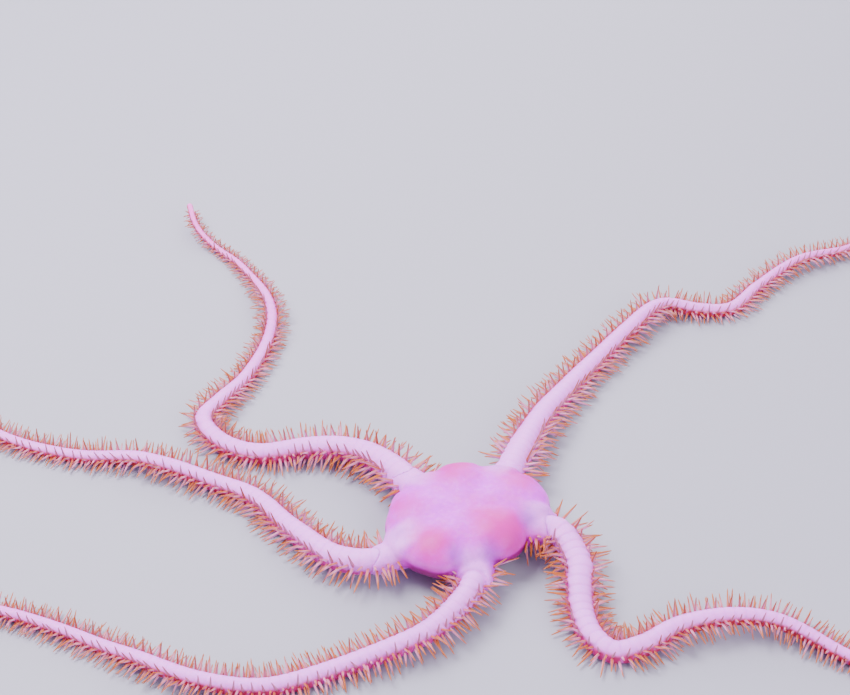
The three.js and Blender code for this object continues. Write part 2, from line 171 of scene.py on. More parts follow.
def show(name: str, data: bpy.types.ID) -> bpy.types.Object:
    """Puts a mesh, a light or a camera into the scene.

    Args:
        name: The object's name.
        data: What it shows.

    Returns:
        The object.
    """
    thing = bpy.data.objects.new(name, data)
    bpy.context.scene.collection.objects.link(thing)
    return thing


class Side(Enum):
    """The two sides of an arm, seen along it from the disc."""

    LEFT = 1
    RIGHT = -1


@dataclass(frozen=True)
class Frames:
    """Places along an arm: where its underside runs, which way it heads and how wide it is."""

    centre: np.ndarray
    ahead: np.ndarray
    up: np.ndarray
    side: np.ndarray
    width: np.ndarray

    def point(self, across: np.ndarray, above: np.ndarray) -> np.ndarray:
        """Finds points of the arm's section.

        Args:
            across: Millimetres to the left of the middle line.
            above: Millimetres above the underside.

        Returns:
            One point a row.
        """
        return self.centre + self.side * across[:, None] + self.up * above[:, None]


@dataclass(frozen=True)
class Route:
    """The smooth line that one arm lies along, the same as that of its solids.

    The line starts under the disc, leaves it at a bearing and passes through places on the
    floor. Lifts pair distances from the root with heights. The disc reaches out to one radius
    just before the arm, to another just after it and to a third in the lobe that follows. The
    crease is where the disc's skin ends on the arm. Up to there the skin is a hood, wider than
    the arm by a share that flares towards the disc. The spines of the left side begin later
    where a stretch of it is bare.
    """

    name: str
    bearing: float
    passes: tuple[tuple[float, float], ...]
    lifts: tuple[tuple[float, float], ...]
    root_width: float
    taper: float
    before: float
    after: float
    lobe: float
    crease: float
    hood: float
    flare: float
    hood_start: float = -6.0
    hood_bow: float = 1.2
    hood_fade: tuple[float, float] = (3.0, 1.6)
    bare_left: float = 0.0
    inner_radius: float = 7.2
    root_radius: float = 13.2
    tip_width: float = 1.2
    samples: int = 120

    @cached_property
    def line(self) -> tuple[np.ndarray, np.ndarray]:
        """Points along the route and their distances from the arm's root."""
        out = heading(self.bearing)[:2]
        knots = np.vstack([out * self.inner_radius, out * self.root_radius, self.passes])
        knots = np.vstack([2 * knots[0] - knots[1], knots, 2 * knots[-1] - knots[-2]])
        pieces = [
            self._piece(knots[i : i + 4], last=i == len(knots) - 4) for i in range(len(knots) - 3)
        ]
        points = np.vstack(pieces)
        steps = np.linalg.norm(np.diff(points, axis=0), axis=1)
        along = np.concatenate([[0.0], np.cumsum(steps)]) - (self.root_radius - self.inner_radius)
        return points, along

    def _piece(self, four: np.ndarray, last: bool) -> np.ndarray:
        """One stretch of a centripetal Catmull-Rom curve.

        Args:
            four: The knots before, at both ends of and after the stretch.
            last: Whether the stretch keeps its end point.

        Returns:
            Points along the stretch.
        """
        gaps = [math.sqrt(np.linalg.norm(four[i + 1] - four[i])) for i in range(3)]
        first, middle, third = gaps
        start = (four[1] - four[0]) / first - (four[2] - four[0]) / (first + middle)
        start = (start + (four[2] - four[1]) / middle) * middle
        end = (four[2] - four[1]) / middle - (four[3] - four[1]) / (middle + third)
        end = (end + (four[3] - four[2]) / third) * middle
        t = np.linspace(0.0, 1.0, self.samples, endpoint=last)[:, None]
        rise, bend = -3 * four[1] + 3 * four[2] - 2 * start - end, 2 * four[1] - 2 * four[2] + start + end
        return four[1] + start * t + rise * t**2 + bend * t**3

    @property
    def length(self) -> float:
        """The arm's length from its root to its tip."""
        return float(self.line[1][-1])

    def lift(self, along: np.ndarray) -> np.ndarray:
        """The height of the arm's underside.

        Args:
            along: Distances from the root.

        Returns:
            Heights above the floor.
        """
        height = np.full_like(along, self.lifts[0][1])
        for (start, low), (end, high) in zip(self.lifts[:-1], self.lifts[1:]):
            inside = along > start
            height[inside] = low + (high - low) * smooth(along[inside], start, end)
        return height

    def width(self, along: np.ndarray) -> np.ndarray:
        """The arm's width, spines apart.

        Args:
            along: Distances from the root.

        Returns:
            Widths.
        """
        left = np.clip(1.0 - along / self.length, 0.0, 1.0)
        return self.tip_width + (self.root_width - self.tip_width) * left**self.taper

    def hooded(self, along: np.ndarray) -> np.ndarray:
        """How much wider than the arm the disc's skin is drawn out round it.

        Args:
            along: Distances from the root.

        Returns:
            Shares of the arm's width, 1 beyond the hood.
        """
        share = np.clip((along - self.hood_start) / (self.crease - self.hood_start), 0.0, 1.0)
        wide = self.hood - 1.0 + self.flare * (1.0 - share) ** self.hood_bow
        return 1.0 + wide * smooth(along - self.crease, *self.hood_fade)

    def at(self, along: np.ndarray) -> Frames:
        """Finds the places at distances from the root.

        Args:
            along: Distances from the root.

        Returns:
            The frames there.
        """
        points, marks = self.line
        probe = 0.05

        def flat(where: np.ndarray) -> np.ndarray:
            """The places on the floor at distances from the root."""
            return np.stack([np.interp(where, marks, points[:, k]) for k in range(2)], 1)

        centre = np.column_stack([flat(along), self.lift(along)])
        step = flat(along + probe) - flat(along - probe)
        slope = (self.lift(along + probe) - self.lift(along - probe))[:, None]
        ahead = np.hstack([step, slope * np.linalg.norm(step, axis=1)[:, None] / (2 * probe)])
        ahead /= np.linalg.norm(ahead, axis=1)[:, None]
        up = UPWARD - ahead * ahead[:, 2:3]
        up /= np.linalg.norm(up, axis=1)[:, None]
        return Frames(centre, ahead, up, np.cross(up, ahead), self.width(along))


ROUTES = (
    Route(
        name="arm_far_right",
        bearing=60,
        passes=(
            (8.6, 16.1), (11.5, 24.3), (14.9, 31.8), (17, 35.6), (21.5, 42.9), (26.5, 50),
            (33.5, 58.7), (41.4, 67.2), (48.5, 66.8), (55.1, 67.4), (61.9, 74.9), (71.5, 83.2),
            (83.5, 88.7), (95.5, 101.7), (102.5, 119.7),
        ),
        lifts=(
            (0, 2.6), (20, 1), (34, 0), (42, 0), (60, 1.4), (78, 0), (86, 0), (106, 1.2),
            (126, 0), (134, 0), (154, 1),
        ),
        root_width=5.35,
        taper=1.25,
        before=15.3,
        after=13.2,
        lobe=13.0,
        crease=2.4,
        hood=1.08,
        flare=0.45,
        bare_left=8.0,
    ),
    Route(
        name="arm_far_left",
        bearing=133,
        passes=(
            (-15.2, 17.8), (-19.3, 21.2), (-28.9, 23.3), (-38.1, 22.2), (-45.4, 25.1),
            (-49, 30.6), (-46.5, 37.1), (-41.4, 47), (-38.3, 63.5), (-45.7, 82.1), (-56.5, 94.7),
            (-59.1, 102.7),
        ),
        lifts=(
            (0, 2.6), (18, 1), (29, 0), (36, 0), (49, 1), (64, 0), (72, 0), (89, 1.4), (104, 0),
            (112, 0), (128, 3),
        ),
        root_width=5.6,
        taper=1.35,
        before=13.4,
        after=14.3,
        lobe=13.8,
        crease=2,
        hood=1.1,
        flare=0.45,
    ),
    Route(
        name="arm_left",
        bearing=210,
        passes=(
            (-17, -8.3), (-21.8, -6.8), (-24.2, -5.2), (-30.9, 1.8), (-35.7, 8.1), (-39.6, 11.6),
            (-46.9, 14.9), (-55.9, 18.6), (-60.9, 20.5), (-74.5, 22.7), (-90.5, 29.7),
            (-103.5, 44.7), (-108.5, 64.7), (-112.5, 84.7),
        ),
        lifts=(
            (0, 2.6), (18, 1), (30, 0), (38, 0), (54, 1.2), (70, 0), (78, 0), (98, 1.2),
            (116, 0), (124, 0), (152, 1),
        ),
        root_width=4.9,
        taper=1.6,
        before=15.8,
        after=15.8,
        lobe=14.2,
        crease=3.5,
        hood=1.14,
        flare=0.4,
    ),
    Route(
        name="arm_near",
        bearing=274,
        passes=(
            (-2.6, -19.3), (-9, -25), (-21.7, -30.3), (-32.9, -34), (-44.6, -33), (-56.7, -27),
            (-74.6, -18.7), (-94.5, -15.3), (-112.5, -12.3), (-130.5, -15.3), (-148.5, -13.3),
        ),
        lifts=(
            (0, 2.6), (16, 1.4), (32, 0), (40, 0), (56, 1.2), (74, 0), (82, 0), (100, 1.2),
            (120, 0), (128, 0), (162, 1),
        ),
        root_width=4.15,
        taper=1.4,
        before=11.6,
        after=10.8,
        lobe=11.5,
        crease=-1.2,
        hood=1.55,
        flare=1.1,
    ),
    Route(
        name="arm_right",
        bearing=358,
        passes=(
            (15.9, -1.5), (18.9, -8.5), (18.8, -13), (18.9, -17.7), (20.3, -23.3), (23.5, -26.6),
            (28.4, -25.5), (35.6, -21.8), (50.7, -21), (62, -27.5), (76.6, -35.9), (92.5, -39.3),
            (111.5, -34.3), (127.5, -23.3),
        ),
        lifts=(
            (0, 2.6), (10, 1.8), (22, 0), (30, 0), (52, 2.2), (74, 0), (82, 0), (100, 1.2),
            (118, 0), (126, 0), (143, 1),
        ),
        root_width=5.2,
        taper=1.65,
        before=11.2,
        after=15.3,
        lobe=15.5,
        crease=0,
        hood=1.3,
        flare=0.7,
    ),
)


class Clay:
    """A bmesh whose points can be moved all at once."""

    def __init__(self) -> None:
        """Starts with nothing."""
        self.bm = bmesh.new()

    @property
    def points(self) -> np.ndarray:
        """Every point, one a row."""
        return np.array([v.co[:] for v in self.bm.verts])

    def move(self, place: Callable[[np.ndarray], np.ndarray]) -> "Clay":
        """Moves every point.

        Args:
            place: Takes the points and returns their new places.

        Returns:
            This clay.
        """
        for vert, spot in zip(self.bm.verts, place(self.points)):
            vert.co = spot
        return self

    @classmethod
    def ball(cls, around: int, rings: int) -> "Clay":
        """A ball of radius 1.

        Args:
            around: Faces round its middle.
            rings: Rings from pole to pole.

        Returns:
            The ball.
        """
        clay = cls()
        bmesh.ops.create_uvsphere(clay.bm, u_segments=around, v_segments=rings, radius=1.0)
        return clay

    @classmethod
    def rod(cls, around: int, rings: int) -> "Clay":
        """A closed rod of radius 1 along Z, from 0 to 1, parted into rings.

        Args:
            around: Faces round it.
            rings: Rings along it.

        Returns:
            The rod.
        """
        clay = cls()
        bmesh.ops.create_cone(
            clay.bm, cap_ends=True, cap_tris=False, segments=around, radius1=1.0, radius2=1.0, depth=1.0
        )
        lengthwise = [e for e in clay.bm.edges if abs(e.verts[0].co.z - e.verts[1].co.z) > 0.5]
        bmesh.ops.subdivide_edges(clay.bm, edges=lengthwise, cuts=rings - 1, use_grid_fill=False)
        bmesh.ops.translate(clay.bm, verts=clay.bm.verts, vec=(0.0, 0.0, 0.5))
        return clay

    def add(self, other: "Clay") -> "Clay":
        """Joins other clay to this, its shells kept apart.

        Args:
            other: What is added. It can't be used afterwards.

        Returns:
            This clay.
        """
        mesh = bpy.data.meshes.new("joined")
        other.bm.to_mesh(mesh)
        other.bm.free()
        self.bm.from_mesh(mesh)
        bpy.data.meshes.remove(mesh)
        return self

    def thing(self, name: str) -> bpy.types.Object:
        """Hands the clay to the scene, in metres in the row frame.

        Args:
            name: The object's name.

        Returns:
            The object.
        """
        self.move(to_row)
        bmesh.ops.recalc_face_normals(self.bm, faces=self.bm.faces)
        mesh = bpy.data.meshes.new(name)
        self.bm.to_mesh(mesh)
        self.bm.free()
        return show(name, mesh)


def settle(thing: bpy.types.Object) -> bpy.types.Object:
    """Applies an object's modifiers to its mesh.

    Args:
        thing: The object.

    Returns:
        The same object.
    """
    graph = bpy.context.evaluated_depsgraph_get()
    graph.update()
    mesh = bpy.data.meshes.new_from_object(thing.evaluated_get(graph))
    thing.modifiers.clear()
    old, thing.data = thing.data, mesh
    bpy.data.meshes.remove(old)
    return thing


def places(mesh: bpy.types.Mesh) -> np.ndarray:
    """Reads a mesh's points.

    Args:
        mesh: The mesh.

    Returns:
        One point a row, in metres.
    """
    flat = np.empty(len(mesh.vertices) * 3)
    mesh.vertices.foreach_get("co", flat)
    return flat.reshape(-1, 3)


def mark(mesh: bpy.types.Mesh, name: str, values: np.ndarray) -> None:
    """Writes a number at each point of a mesh for its shader.

    Args:
        mesh: The mesh.
        name: The attribute's name.
        values: One number for each point.
    """
    layer = mesh.attributes.new(name, "FLOAT", "POINT")
    layer.data.foreach_set("value", np.ascontiguousarray(values, dtype=np.float32))


@dataclass(frozen=True)
class ArmSkin:
    """The plated skin of one arm: overlapping plates above, bulging side plates, flat below.

    A segment is as long as the least pitch and a share of the arm's width. Heights and depths
    are shares of the width, and the edges of the plates are heights on a round section, from
    -1 at the belly to 1 at the back. Rings of each segment lie at the given fractions of it.
    The tip closes round a core, whose height is a share of the arm's.
    """

    route: Route
    start: float = -4.0
    around: int = 26
    pitch_share: float = 0.06
    pitch_least: float = 1.5
    height_ratio: float = 0.76
    widest: float = 0.36
    core: float = 0.45
    belly_powers: tuple[float, float] = (0.6, 0.55)
    groove: float = 0.012
    shingle: float = 0.014
    bulge: float = 0.035
    joint: float = 0.07
    back_edge: tuple[float, float] = (0.45, 0.75)
    belly_edge: tuple[float, float] = (-0.5, -0.75)
    seam: tuple[float, float] = (0.6, 0.12)
    seam_share: float = 0.3
    plates_from: tuple[float, float] = (-0.5, 4.0)
    tip_round: float = 0.9
    tip_least: float = 0.06
    steps: int = 4000
    hair: float = 1e-6
    fractions: tuple[float, ...] = (0.0, 0.1, 0.3, 0.5, 0.7, 0.9)

    @cached_property
    def scale(self) -> tuple[np.ndarray, np.ndarray]:
        """Distances along the arm and the count of segments up to each."""
        along = np.linspace(self.start, self.route.length, self.steps)
        pitch = self.pitch_share * self.route.width(along) + self.pitch_least
        count = np.concatenate([[0.0], np.cumsum(np.diff(along) / (0.5 * (pitch[1:] + pitch[:-1])))])
        return along, count

    @property
    def segments(self) -> int:
        """How many segments the arm has."""
        return int(self.scale[1][-1])

    def distance(self, segment: np.ndarray) -> np.ndarray:
        """Where a segment lies.

        Args:
            segment: Segment numbers, counted from the inner end, fractions included.

        Returns:
            Distances from the root.
        """
        along, count = self.scale
        return np.interp(segment, count, along)

    def outline(self, turn: np.ndarray) -> tuple[np.ndarray, np.ndarray]:
        """The arm's section, one unit wide.

        Args:
            turn: Angles round the section, 0 at its left side and a quarter turn at its top.

        Returns:
            Distances across and above.
        """
        cosine, sine = np.cos(turn), np.sin(turn)
        over = sine >= 0
        wide, deep = (signed_power(v, p) for v, p in zip((cosine, sine), self.belly_powers))
        across = 0.5 * np.where(over, cosine, wide)
        rise = self.height_ratio * np.where(over, 1.0 - self.widest, self.widest)
        above = self.height_ratio * self.widest + rise * np.where(over, sine, deep)
        return across, above

    def relief(self, segment: np.ndarray, turn: np.ndarray) -> np.ndarray:
        """How far the plates stand out from the plain section, one unit wide.

        Args:
            segment: Segment numbers, fractions included.
            turn: Angles round the section.

        Returns:
            Distances outward.
        """
        part = segment - np.floor(segment + self.hair)
        joint = bell(np.minimum(part, 1.0 - part), 0.0, self.joint)
        sine = np.sin(turn)
        above, below = smooth(sine, *self.back_edge), smooth(sine, *self.belly_edge)
        beside = 1.0 - np.maximum(above, below)
        out = self.shingle * above * part - self.groove * joint * (0.5 + 0.5 * beside)
        out = out + self.bulge * beside * np.sin(np.pi * part)
        return out - self.groove * self.seam_share * bell(np.abs(sine), *self.seam)

    def build(self) -> tuple[Clay, dict[str, np.ndarray]]:
        """Makes the arm's skin.

        Returns:
            The closed skin and the numbers for its shader.
        """
        rings = self.segments * len(self.fractions)
        clay = Clay.rod(self.around, rings)
        points = clay.points
        index = np.rint(points[:, 2] * rings).astype(int)
        segment = index // len(self.fractions) + np.array(self.fractions)[index % len(self.fractions)]
        turn = np.arctan2(points[:, 1], points[:, 0])
        along = self.distance(segment)
        frames = self.route.at(along)
        across, above = self.outline(turn)
        out = self.relief(segment, turn) * smooth(along - self.route.crease, *self.plates_from)
        across = across + out * np.cos(turn)
        above = np.maximum(above + out * np.sin(turn), 0.0)
        left = (self.route.length - along) / self.tip_round
        closing = np.sqrt(np.clip(left, self.tip_least, 1.0))
        middle = self.height_ratio * self.core
        across, above = across * closing, middle + (above - middle) * closing
        clay.move(lambda _: frames.point(across * frames.width, above * frames.width))
        marks = {
            "arm": np.ones(len(points)),
            "segment": segment,
            "height": np.clip(above / self.height_ratio, 0.0, 1.0),
            "far": np.clip(along / self.route.length, 0.0, 1.0),
        }
        return clay, marks


@dataclass(frozen=True)
class Row:
    """One row of spines up the side of an arm.

    Places are shares of the arm's height and width, base and least are in millimetres, and
    share and thick are added to them for each millimetre of the arm's width.
    """

    height: float
    across: float
    angle: float
    base: float
    share: float
    least: float
    thick: float


@dataclass(frozen=True)
class SpineCoat:
    """The spines of one arm, joined as one mesh.

    Every segment has one spine of each row on each side. The top row begins beyond the crease,
    the others under the disc. A spine is a rod with a girth at each of its stations. It bows
    upwards a little, leans towards the arm's tip and is turned up until its tip clears the
    floor. Its sink is how deep its foot stands in the skin, a share of the arm's width.

    Lengths jitter and the top row's take turns, angles fan out by degrees, roots drift along
    the arm by a share of a segment, and every second row stands staggered. Spines shorten on
    a thin arm. The map has a column for each arm, and in it a place for each row of each side,
    counted outwards from the middle of the column.
    """

    skin: ArmSkin
    rows: tuple[Row, ...] = (
        Row(height=0.66, across=0.46, angle=72, base=1.8, share=0.18, least=0.28, thick=0.050),
        Row(height=0.62, across=0.47, angle=29, base=1.7, share=0.27, least=0.24, thick=0.052),
        Row(height=0.48, across=0.49, angle=6, base=1.9, share=0.37, least=0.24, thick=0.066),
        Row(height=0.35, across=0.49, angle=-15, base=1.9, share=0.37, least=0.24, thick=0.066),
        Row(height=0.22, across=0.47, angle=-34, base=1.6, share=0.27, least=0.24, thick=0.052),
    )
    sides: int = 6
    sink: float = 0.10
    stations: tuple[float, ...] = (0.0, 0.3, 0.9, 1.0)
    girths: tuple[float, ...] = (1.1, 1.0, 0.42, 0.14)
    bow: float = 0.06
    lean: float = 0.12
    lean_spread: float = 0.9
    floor: float = 0.12
    floor_thick: float = 0.4
    floor_step: float = 0.06
    floor_steps: int = 30
    turns: tuple[float, float] = (1.12, 0.88)
    jitter: float = 0.14
    fan: float = 7.0
    drift: float = 0.15
    stagger: float = 0.45
    thin_arm: float = 2.2
    upper_start: float = 2.2
    lower_start: float = -5.0
    patch: float = 0.003
    map_edge: float = 0.01
    map_first: float = 0.12
    map_step: float = 0.07

    def template(self) -> tuple[np.ndarray, list[list[int]], np.ndarray, np.ndarray]:
        """One upright spine of unit length and radius.

        Returns:
            Its points, its faces, the share along it and the turn round it of each point.
        """
        rings = len(self.stations) - 1
        clay = Clay.rod(self.sides, rings)
        bmesh.ops.recalc_face_normals(clay.bm, faces=clay.bm.faces)
        points = clay.points
        ring = np.rint(points[:, 2] * rings).astype(int)
        share, radius = np.array(self.stations)[ring], np.array(self.girths)[ring]
        turn = np.arctan2(points[:, 1], points[:, 0])
        shape = np.column_stack([points[:, :2] * radius[:, None], share])
        faces = [[v.index for v in face.verts] for face in clay.bm.faces]
        clay.bm.free()
        return shape, faces, share, turn

    def roots(self, random: np.random.Generator) -> dict[str, np.ndarray]:
        """Where each spine stands, which way it points and how big it is.

        Args:
            random: The source of the small differences between spines.

        Returns:
            Arrays with one row a spine.
        """
        groups: list[dict[str, np.ndarray]] = []
        begin = self.skin.distance(np.arange(self.skin.segments))
        for number, row in enumerate(self.rows):
            first = self.skin.route.crease + (self.upper_start if number == 0 else self.lower_start)
            start = np.searchsorted(begin, first)
            for side in Side:
                segment = np.arange(start, self.skin.segments - 2) + 0.5 + self.stagger * (number % 2)
                count = len(segment)
                along = self.skin.distance(segment + self.drift * random.uniform(-1.0, 1.0, count))
                frames = self.skin.route.at(along)
                width = frames.width
                angle = np.radians(row.angle + self.fan * random.normal(0.0, 1.0, count))
                reach = (row.base + row.share * width) * np.minimum(1.0, width / self.thin_arm)
                reach = reach * (1.0 + self.jitter * np.clip(random.normal(0.0, 1.0, count), -2, 2))
                if number == 0:
                    reach = reach * np.array(self.turns)[np.arange(count) % 2]
                thick = row.least + row.thick * width
                lean = self.lean * (1.0 + self.lean_spread * random.normal(0.0, 1.0, count))
                out = row.across * width * self.skin.route.hooded(along)
                root = frames.point(side.value * out, row.height * self.skin.height_ratio * width)
                for _ in range(self.floor_steps):
                    aim = frames.side * (side.value * np.cos(angle))[:, None]
                    aim = aim + frames.up * np.sin(angle)[:, None] + frames.ahead * lean[:, None]
                    aim /= np.linalg.norm(aim, axis=1)[:, None]
                    tip = root + aim * reach[:, None]
                    low = tip[:, 2] < self.floor + self.floor_thick * thick
                    angle = np.where(low, angle + self.floor_step, angle)
                bare = self.skin.route.bare_left if side is Side.LEFT else 0.0
                groups.append({
                    "root": root - aim * (self.sink * width)[:, None],
                    "aim": aim,
                    "up": frames.up,
                    "reach": reach + self.sink * width,
                    "radius": 0.5 * thick,
                    "row": np.full(count, number / (len(self.rows) - 1)),
                    "tint": random.random(count),
                    "round": np.full(count, 0.5 + side.value * (self.map_first + self.map_step * number)),
                    "far": along / self.skin.route.length,
                    "shown": along > first + bare,
                })
        return {key: np.concatenate([group[key] for group in groups]) for key in groups[0]}

    def build(self, random: np.random.Generator, keep: Callable[[np.ndarray], np.ndarray],
              number: int) -> bpy.types.Object:
        """Makes all the arm's spines.

        Args:
            random: The source of the small differences between spines.
            keep: Tells for each root whether its spine stands clear of the disc.
            number: Which of the arms this is, counted from 0.

        Returns:
            The object.
        """
        spines = self.roots(random)
        kept = keep(spines["root"]) & spines["shown"]
        spines = {key: values[kept] for key, values in spines.items()}
        shape, faces, share, turn = self.template()
        aim, count = spines["aim"], len(spines["aim"])
        over = spines["up"] - aim * (spines["up"] * aim).sum(1)[:, None]
        over /= np.linalg.norm(over, axis=1)[:, None]
        beside = np.cross(over, aim)
        radius, reach = spines["radius"][:, None, None], spines["reach"][:, None, None]
        bend = self.bow * reach * (shape[None, :, 2:3] ** 2)
        points = spines["root"][:, None, :] + aim[:, None, :] * shape[None, :, 2:3] * reach
        points = points + over[:, None, :] * (shape[None, :, 0:1] * radius + bend)
        points = points + beside[:, None, :] * shape[None, :, 1:2] * radius
        name = self.skin.route.name + "_spines"
        mesh = bpy.data.meshes.new(name)
        size = len(shape)
        mesh.from_pydata(to_row(points.reshape(-1, 3)).tolist(), [], [
            [corner + size * i for corner in face] for i in range(count) for face in faces
        ])
        mark(mesh, "share", np.tile(share, count))
        mark(mesh, "ridge", np.tile(np.cos(turn), count))
        mark(mesh, "row", np.repeat(spines["row"], size))
        mark(mesh, "tint", np.repeat(spines["tint"], size))
        across = (number + spines["round"][:, None]) / len(ROUTES) + self.patch * turn / math.tau
        beyond = self.map_edge + (1.0 - 2 * self.map_edge) * spines["far"][:, None] + self.patch * share
        self._unwrap(mesh, np.column_stack([across.ravel(), beyond.ravel()]))
        mesh.shade_smooth()
        return show(name, mesh)

    @staticmethod
    def _unwrap(mesh: bpy.types.Mesh, spots: np.ndarray) -> None:
        """Lays every spine on a small patch at its root's place on the unrolled arms.

        Args:
            mesh: The spines.
            spots: Where each point of the mesh lies on the map.
        """
        corners = np.empty(len(mesh.loops), dtype=np.int32)
        mesh.loops.foreach_get("vertex_index", corners)
        layer = mesh.uv_layers.new(name="OFBake")
        layer.uv.foreach_set("vector", spots[corners].astype(np.float32).ravel())


@dataclass(frozen=True)
class Spot:
    """A soft round place on the disc: where it is, how wide, how pink and how far it swells."""

    x: float
    y: float
    reach: float
    blush: float
    puff: float

    def share(self, points: np.ndarray) -> np.ndarray:
        """How strongly the spot is felt.

        Args:
            points: Points of the disc.

        Returns:
            1 in the middle of the spot, falling away to 0.
        """
        gap = np.hypot(points[:, 0] - self.x, points[:, 1] - self.y)
        return bell(gap, 0.0, self.reach)


@dataclass(frozen=True)
class Disc:
    """The soft disc, with the sleeves that the arms come out of.

    Its top, its middle and its belly are heights above the floor. The squarenesses bend a ball
    towards a flat round cake, above and below its middle. A fold runs down between each arm
    and the lobes beside it. A sleeve ends in a lip beyond the crease, notched back at its top.
    The mouth is a hollow underneath, with a corner at each arm and each lobe, and outside it
    every lobe has a low oval shield. Spines may stand a little inside the rim.
    """

    routes: tuple[Route, ...]
    top: float = 9.0
    belly: float = 2.6
    middle: float = 5.2
    squareness: float = 0.72
    under_squareness: float = 0.52
    swell: float = 0.7
    fold: float = 0.55
    fold_dip: float = 0.6
    fold_share: float = 0.42
    fold_width: float = 0.2
    fold_span: tuple[float, float] = (0.55, 0.95)
    ball_faces: tuple[int, int] = (96, 48)
    oral_faces: tuple[int, int] = (20, 12)
    oral_rise: float = 0.8
    oral_radius: float = 8.3
    oral_size: tuple[float, float, float] = (1.8, 1.6, 1.0)
    mouth_radius: float = 6.2
    mouth_lobe_share: float = 0.94
    mouth_depth: float = 2.3
    mouth_opening: float = 2.0
    voxel: float = 0.29
    soften_rounds: int = 11
    sleeve_faces: int = 24
    sleeve_end: float = 1.9
    sleeve_notch: float = 2.1
    sleeve_rise: float = 0.6
    sleeve_lip: float = 0.84
    sleeve_tuck: float = 0.06
    sleeve_below: float = 1.15
    root_share: float = 0.15
    spines_inside: float = 1.0
    spots: tuple[Spot, ...] = (
        Spot(6.4, -5.2, 5.2, 1.0, 0.6),
        Spot(-6.0, -9.0, 4.3, 1.0, 0.4),
        Spot(-11.6, 0.6, 4.6, 0.7, 0.2),
        Spot(-2.6, 9.6, 5.2, 0.75, 0.2),
        Spot(9.8, 7.0, 4.6, 0.7, 0.2),
        Spot(2.0, -1.6, 4.4, 0.35, 0.0),
        Spot(5.6, 11.2, 4.2, 0.1, 1.2),
        Spot(-1.8, 11.2, 4.2, 0.2, 0.8),
        Spot(10.4, -1.6, 2.2, -0.8, -0.4),
        Spot(-2.0, -10.6, 2.0, -0.8, -0.4),
        Spot(3.8, -9.8, 2.2, -0.8, -0.4),
        Spot(-12.0, -5.4, 2.6, -0.5, -0.3),
        Spot(5.6, 10.8, 2.6, -0.5, -0.2),
        Spot(-9.6, 6.4, 2.6, -0.4, -0.2),
    )

    @cached_property
    def bearings(self) -> np.ndarray:
        """The bearings of the arms, in degrees."""
        return np.array([route.bearing for route in self.routes], float)

    @cached_property
    def lobes(self) -> np.ndarray:
        """The bearings of the lobes between the arms, in degrees."""
        return (self.bearings + np.append(self.bearings[1:], self.bearings[0] + 360)) / 2

    def between(self, bearing: np.ndarray) -> np.ndarray:
        """Which two arms a bearing lies between.

        Args:
            bearing: Bearings in degrees.

        Returns:
            The number of the arm before it plus the share of the way to the next arm.
        """
        starts = np.append(self.bearings, self.bearings[0] + 360) - self.bearings[0]
        return np.interp((bearing - self.bearings[0]) % 360, starts, np.arange(len(starts)))

    def lobe_share(self, bearing: np.ndarray) -> np.ndarray:
        """How far a bearing lies into a lobe.

        Args:
            bearing: Bearings in degrees.

        Returns:
            0 at an arm and 1 in the middle of a lobe.
        """
        return np.sin(np.pi * self.between(bearing)) ** 2

    def rim(self, points: np.ndarray) -> np.ndarray:
        """How far the disc reaches towards each point.

        Args:
            points: Points.

        Returns:
            Radii.
        """
        bearing = bearing_of(points)
        place = self.between(bearing)
        first = np.floor(place).astype(int) % len(self.routes)
        part = place % 1.0
        before = np.array([route.before for route in self.routes])
        after = np.array([route.after for route in self.routes])
        middle = (before + after) / 2
        nearest = np.where(part < 0.5, first, (first + 1) % len(self.routes))
        side = np.where(part < 0.5, after[nearest], before[nearest])
        corner = middle[nearest] + (side - middle[nearest]) * smooth(
            np.minimum(part, 1.0 - part), 0.0, self.root_share
        )
        lobe = np.array([route.lobe for route in self.routes])[first]
        return corner + (lobe - corner) * self.lobe_share(bearing)

    def clear(self, roots: np.ndarray) -> np.ndarray:
        """Tells which spines stand clear of the disc.

        Args:
            roots: The places of their roots.

        Returns:
            True for each that does.
        """
        return np.hypot(roots[:, 0], roots[:, 1]) > self.rim(roots) - self.spines_inside

    def _body(self, ball: np.ndarray) -> np.ndarray:
        """Shapes the disc without its sleeves.

        Args:
            ball: The points of a ball of radius 1.

        Returns:
            Their places on the disc.
        """
        flat = np.minimum(np.hypot(ball[:, 0], ball[:, 1]), 1.0)
        bearing = np.arctan2(ball[:, 1], ball[:, 0])
        lobe = self.lobe_share(np.degrees(bearing))
        fold = self.fold * bell(lobe, self.fold_share, self.fold_width) * smooth(flat, *self.fold_span)
        over = ball[:, 2] > 0
        power = np.where(over, self.squareness, self.under_squareness)
        reach = flat**power * self.rim(ball) - fold
        rise = np.where(over, self.top - self.middle, self.middle - self.belly)
        swell = self.swell * lobe * np.sin(np.pi * flat) - self.fold_dip * fold
        swell = np.where(over, swell, 0.0)
        height = self.middle + signed_power(ball[:, 2], power) * rise + swell
        flat_points = np.column_stack([reach * np.cos(bearing), reach * np.sin(bearing)])
        puff = sum(spot.puff * spot.share(flat_points) for spot in self.spots)
        height = height + puff * np.sqrt(np.clip(ball[:, 2], 0.0, 1.0))
        return np.column_stack([flat_points, height])

    def _sleeve(self, route: Route) -> Clay:
        """The skin drawn out over the root of one arm.

        Args:
            route: The arm's route.

        Returns:
            The closed sleeve.
        """
        section = ArmSkin(route)

